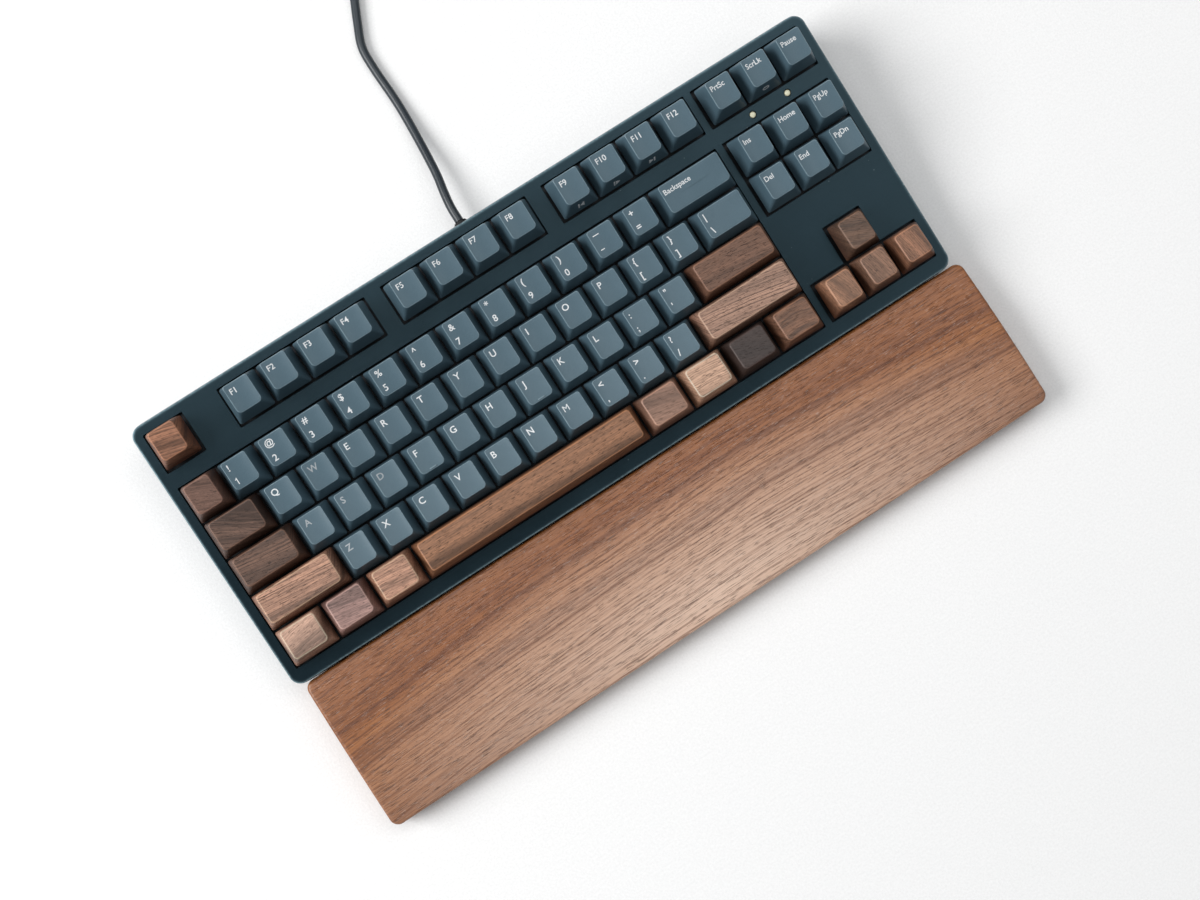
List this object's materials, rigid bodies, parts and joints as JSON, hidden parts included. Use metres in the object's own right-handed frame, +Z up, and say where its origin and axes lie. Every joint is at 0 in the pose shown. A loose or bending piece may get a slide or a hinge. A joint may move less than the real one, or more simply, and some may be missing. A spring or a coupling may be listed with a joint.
{
  "type": "mechanical keyboard",
  "caption": "Tenkeyless mechanical keyboard with walnut accent keys, fold-out feet, a coiled USB lead and a matching walnut palm rest.",
  "frame": {"origin": "middle of the footprint of keyboard and palm rest together, on the table, without the lead", "axes": "+X to the typist's right along the keyboard, +Y away from the typist, +Z up"},
  "size_m": [0.3638, 0.4645, 0.048],
  "materials": {
    "case_plastic": "fine matt texture",
    "keycap_plastic": "fine matt texture with a slight sheen",
    "key_walnut": "oiled walnut, each key with its own grain",
    "walnut": "oiled walnut with open pores",
    "plate_steel": "black powder coat",
    "circuit_board": "solder mask",
    "switch_plastic": "moulded nylon",
    "light_lens": "milky lens, unlit",
    "rubber": "matt rubber",
    "lead_rubber": "smooth sheath with a soft sheen",
    "plug_steel": "nickel plated, fine brushed"
  },
  "bodies": {
    "case": {"top_cover": "case_plastic", "bottom_cover": "case_plastic", "switch_plate": "plate_steel", "circuit_board": "circuit_board", "switch_bank": "switch_plastic", "caps_lock_light": "light_lens", "scroll_lock_light": "light_lens", "rubber_pad_front_left": "rubber", "rubber_pad_front_right": "rubber", "rubber_pad_back_left": "rubber", "rubber_pad_back_right": "rubber", "strain_relief": "lead_rubber", "usb_lead": "lead_rubber", "usb_lead_coil": "lead_rubber", "usb_lead_tail": "lead_rubber", "cable_tie": "lead_rubber", "usb_plug_grip": "lead_rubber", "usb_plug_shell": "plug_steel"},
    "palm_rest": {"palm_rest": "walnut", "palm_rest_pad_left": "rubber", "palm_rest_pad_right": "rubber"},
    "flip_foot_left": {"flip_foot_left": "case_plastic"},
    "flip_foot_right": {"flip_foot_right": "case_plastic"},
    "escape_key": {"escape_key": "key_walnut"},
    "backtick_key": {"backtick_key": "key_walnut"},
    "tab_key": {"tab_key": "key_walnut"},
    "caps_lock_key": {"caps_lock_key": "key_walnut"},
    "enter_key": {"enter_key": "key_walnut"},
    "left_shift_key": {"left_shift_key": "key_walnut"},
    "right_shift_key": {"right_shift_key": "key_walnut"},
    "arrow_up_key": {"arrow_up_key": "key_walnut"},
    "left_control_key": {"left_control_key": "key_walnut"},
    "left_system_key": {"left_system_key": "key_walnut"},
    "left_alt_key": {"left_alt_key": "key_walnut"},
    "space_bar": {"space_bar": "key_walnut"},
    "right_alt_key": {"right_alt_key": "key_walnut"},
    "right_system_key": {"right_system_key": "key_walnut"},
    "menu_key": {"menu_key": "key_walnut"},
    "right_control_key": {"right_control_key": "key_walnut"},
    "arrow_left_key": {"arrow_left_key": "key_walnut"},
    "arrow_down_key": {"arrow_down_key": "key_walnut"},
    "arrow_right_key": {"arrow_right_key": "key_walnut"},
    "function_keys_1_to_4": {"function_keys_1_to_4": "keycap_plastic"},
    "function_keys_5_to_8": {"function_keys_5_to_8": "keycap_plastic"},
    "function_keys_9_to_12": {"function_keys_9_to_12": "keycap_plastic"},
    "system_keys": {"system_keys": "keycap_plastic"},
    "number_keys_1_to_4": {"number_keys_1_to_4": "keycap_plastic"},
    "number_keys_5_to_8": {"number_keys_5_to_8": "keycap_plastic"},
    "number_keys_9_to_equals": {"number_keys_9_to_equals": "keycap_plastic"},
    "backspace_key": {"backspace_key": "keycap_plastic"},
    "navigation_keys_upper": {"navigation_keys_upper": "keycap_plastic"},
    "letter_keys_q_to_r": {"letter_keys_q_to_r": "keycap_plastic"},
    "letter_keys_t_to_i": {"letter_keys_t_to_i": "keycap_plastic"},
    "letter_keys_o_to_brackets": {"letter_keys_o_to_brackets": "keycap_plastic"},
    "backslash_key": {"backslash_key": "keycap_plastic"},
    "navigation_keys_lower": {"navigation_keys_lower": "keycap_plastic"},
    "letter_keys_a_to_h": {"letter_keys_a_to_h": "keycap_plastic"},
    "letter_keys_j_to_quote": {"letter_keys_j_to_quote": "keycap_plastic"},
    "letter_keys_z_to_b": {"letter_keys_z_to_b": "keycap_plastic"},
    "letter_keys_n_to_slash": {"letter_keys_n_to_slash": "keycap_plastic"}
  },
  "joints": [
    {"name": "palm_rest_pull", "type": "slide", "parent": "case", "child": "palm_rest", "axis": [0, -1, 0], "range_m": [0, 0.06]},
    {"name": "flip_foot_left_hinge", "type": "hinge", "parent": "case", "child": "flip_foot_left", "pos_m": [-0.13287, 0.0893, 0.005], "axis": [1, 0, 0], "range_deg": [0, 100]},
    {"name": "flip_foot_right_hinge", "type": "hinge", "parent": "case", "child": "flip_foot_right", "pos_m": [0.1294, 0.0893, 0.005], "axis": [1, 0, 0], "range_deg": [0, 100]},
    {"name": "escape_key_travel", "type": "slide", "parent": "case", "child": "escape_key", "axis": [0, -0.1011, 0.9949], "range_m": [-0.004, 0], "stiffness_N_per_m": 75, "springref_m": 0.004},
    {"name": "backtick_key_travel", "type": "slide", "parent": "case", "child": "backtick_key", "axis": [0, -0.1011, 0.9949], "range_m": [-0.004, 0], "stiffness_N_per_m": 75, "springref_m": 0.004},
    {"name": "tab_key_travel", "type": "slide", "parent": "case", "child": "tab_key", "axis": [0, -0.1011, 0.9949], "range_m": [-0.004, 0], "stiffness_N_per_m": 75, "springref_m": 0.004},
    {"name": "caps_lock_key_travel", "type": "slide", "parent": "case", "child": "caps_lock_key", "axis": [0, -0.1011, 0.9949], "range_m": [-0.004, 0], "stiffness_N_per_m": 75, "springref_m": 0.004},
    {"name": "enter_key_travel", "type": "slide", "parent": "case", "child": "enter_key", "axis": [0, -0.1011, 0.9949], "range_m": [-0.004, 0], "stiffness_N_per_m": 75, "springref_m": 0.004},
    {"name": "left_shift_key_travel", "type": "slide", "parent": "case", "child": "left_shift_key", "axis": [0, -0.1011, 0.9949], "range_m": [-0.004, 0], "stiffness_N_per_m": 75, "springref_m": 0.004},
    {"name": "right_shift_key_travel", "type": "slide", "parent": "case", "child": "right_shift_key", "axis": [0, -0.1011, 0.9949], "range_m": [-0.004, 0], "stiffness_N_per_m": 75, "springref_m": 0.004},
    {"name": "arrow_up_key_travel", "type": "slide", "parent": "case", "child": "arrow_up_key", "axis": [0, -0.1011, 0.9949], "range_m": [-0.004, 0], "stiffness_N_per_m": 75, "springref_m": 0.004},
    {"name": "left_control_key_travel", "type": "slide", "parent": "case", "child": "left_control_key", "axis": [0, -0.1011, 0.9949], "range_m": [-0.004, 0], "stiffness_N_per_m": 75, "springref_m": 0.004},
    {"name": "left_system_key_travel", "type": "slide", "parent": "case", "child": "left_system_key", "axis": [0, -0.1011, 0.9949], "range_m": [-0.004, 0], "stiffness_N_per_m": 75, "springref_m": 0.004},
    {"name": "left_alt_key_travel", "type": "slide", "parent": "case", "child": "left_alt_key", "axis": [0, -0.1011, 0.9949], "range_m": [-0.004, 0], "stiffness_N_per_m": 75, "springref_m": 0.004},
    {"name": "space_bar_travel", "type": "slide", "parent": "case", "child": "space_bar", "axis": [0, -0.1011, 0.9949], "range_m": [-0.004, 0], "stiffness_N_per_m": 75, "springref_m": 0.004},
    {"name": "right_alt_key_travel", "type": "slide", "parent": "case", "child": "right_alt_key", "axis": [0, -0.1011, 0.9949], "range_m": [-0.004, 0], "stiffness_N_per_m": 75, "springref_m": 0.004},
    {"name": "right_system_key_travel", "type": "slide", "parent": "case", "child": "right_system_key", "axis": [0, -0.1011, 0.9949], "range_m": [-0.004, 0], "stiffness_N_per_m": 75, "springref_m": 0.004},
    {"name": "menu_key_travel", "type": "slide", "parent": "case", "child": "menu_key", "axis": [0, -0.1011, 0.9949], "range_m": [-0.004, 0], "stiffness_N_per_m": 75, "springref_m": 0.004},
    {"name": "right_control_key_travel", "type": "slide", "parent": "case", "child": "right_control_key", "axis": [0, -0.1011, 0.9949], "range_m": [-0.004, 0], "stiffness_N_per_m": 75, "springref_m": 0.004},
    {"name": "arrow_left_key_travel", "type": "slide", "parent": "case", "child": "arrow_left_key", "axis": [0, -0.1011, 0.9949], "range_m": [-0.004, 0], "stiffness_N_per_m": 75, "springref_m": 0.004},
    {"name": "arrow_down_key_travel", "type": "slide", "parent": "case", "child": "arrow_down_key", "axis": [0, -0.1011, 0.9949], "range_m": [-0.004, 0], "stiffness_N_per_m": 75, "springref_m": 0.004},
    {"name": "arrow_right_key_travel", "type": "slide", "parent": "case", "child": "arrow_right_key", "axis": [0, -0.1011, 0.9949], "range_m": [-0.004, 0], "stiffness_N_per_m": 75, "springref_m": 0.004},
    {"name": "function_keys_1_to_4_travel", "type": "slide", "parent": "case", "child": "function_keys_1_to_4", "axis": [0, -0.1011, 0.9949], "range_m": [-0.004, 0], "stiffness_N_per_m": 300, "springref_m": 0.004},
    {"name": "function_keys_5_to_8_travel", "type": "slide", "parent": "case", "child": "function_keys_5_to_8", "axis": [0, -0.1011, 0.9949], "range_m": [-0.004, 0], "stiffness_N_per_m": 300, "springref_m": 0.004},
    {"name": "function_keys_9_to_12_travel", "type": "slide", "parent": "case", "child": "function_keys_9_to_12", "axis": [0, -0.1011, 0.9949], "range_m": [-0.004, 0], "stiffness_N_per_m": 300, "springref_m": 0.004},
    {"name": "system_keys_travel", "type": "slide", "parent": "case", "child": "system_keys", "axis": [0, -0.1011, 0.9949], "range_m": [-0.004, 0], "stiffness_N_per_m": 225, "springref_m": 0.004},
    {"name": "number_keys_1_to_4_travel", "type": "slide", "parent": "case", "child": "number_keys_1_to_4", "axis": [0, -0.1011, 0.9949], "range_m": [-0.004, 0], "stiffness_N_per_m": 300, "springref_m": 0.004},
    {"name": "number_keys_5_to_8_travel", "type": "slide", "parent": "case", "child": "number_keys_5_to_8", "axis": [0, -0.1011, 0.9949], "range_m": [-0.004, 0], "stiffness_N_per_m": 300, "springref_m": 0.004},
    {"name": "number_keys_9_to_equals_travel", "type": "slide", "parent": "case", "child": "number_keys_9_to_equals", "axis": [0, -0.1011, 0.9949], "range_m": [-0.004, 0], "stiffness_N_per_m": 300, "springref_m": 0.004},
    {"name": "backspace_key_travel", "type": "slide", "parent": "case", "child": "backspace_key", "axis": [0, -0.1011, 0.9949], "range_m": [-0.004, 0], "stiffness_N_per_m": 75, "springref_m": 0.004},
    {"name": "navigation_keys_upper_travel", "type": "slide", "parent": "case", "child": "navigation_keys_upper", "axis": [0, -0.1011, 0.9949], "range_m": [-0.004, 0], "stiffness_N_per_m": 225, "springref_m": 0.004},
    {"name": "letter_keys_q_to_r_travel", "type": "slide", "parent": "case", "child": "letter_keys_q_to_r", "axis": [0, -0.1011, 0.9949], "range_m": [-0.004, 0], "stiffness_N_per_m": 300, "springref_m": 0.004},
    {"name": "letter_keys_t_to_i_travel", "type": "slide", "parent": "case", "child": "letter_keys_t_to_i", "axis": [0, -0.1011, 0.9949], "range_m": [-0.004, 0], "stiffness_N_per_m": 300, "springref_m": 0.004},
    {"name": "letter_keys_o_to_brackets_travel", "type": "slide", "parent": "case", "child": "letter_keys_o_to_brackets", "axis": [0, -0.1011, 0.9949], "range_m": [-0.004, 0], "stiffness_N_per_m": 300, "springref_m": 0.004},
    {"name": "backslash_key_travel", "type": "slide", "parent": "case", "child": "backslash_key", "axis": [0, -0.1011, 0.9949], "range_m": [-0.004, 0], "stiffness_N_per_m": 75, "springref_m": 0.004},
    {"name": "navigation_keys_lower_travel", "type": "slide", "parent": "case", "child": "navigation_keys_lower", "axis": [0, -0.1011, 0.9949], "range_m": [-0.004, 0], "stiffness_N_per_m": 225, "springref_m": 0.004},
    {"name": "letter_keys_a_to_h_travel", "type": "slide", "parent": "case", "child": "letter_keys_a_to_h", "axis": [0, -0.1011, 0.9949], "range_m": [-0.004, 0], "stiffness_N_per_m": 450, "springref_m": 0.004},
    {"name": "letter_keys_j_to_quote_travel", "type": "slide", "parent": "case", "child": "letter_keys_j_to_quote", "axis": [0, -0.1011, 0.9949], "range_m": [-0.004, 0], "stiffness_N_per_m": 375, "springref_m": 0.004},
    {"name": "letter_keys_z_to_b_travel", "type": "slide", "parent": "case", "child": "letter_keys_z_to_b", "axis": [0, -0.1011, 0.9949], "range_m": [-0.004, 0], "stiffness_N_per_m": 375, "springref_m": 0.004},
    {"name": "letter_keys_n_to_slash_travel", "type": "slide", "parent": "case", "child": "letter_keys_n_to_slash", "axis": [0, -0.1011, 0.9949], "range_m": [-0.004, 0], "stiffness_N_per_m": 375, "springref_m": 0.004}
  ]
}
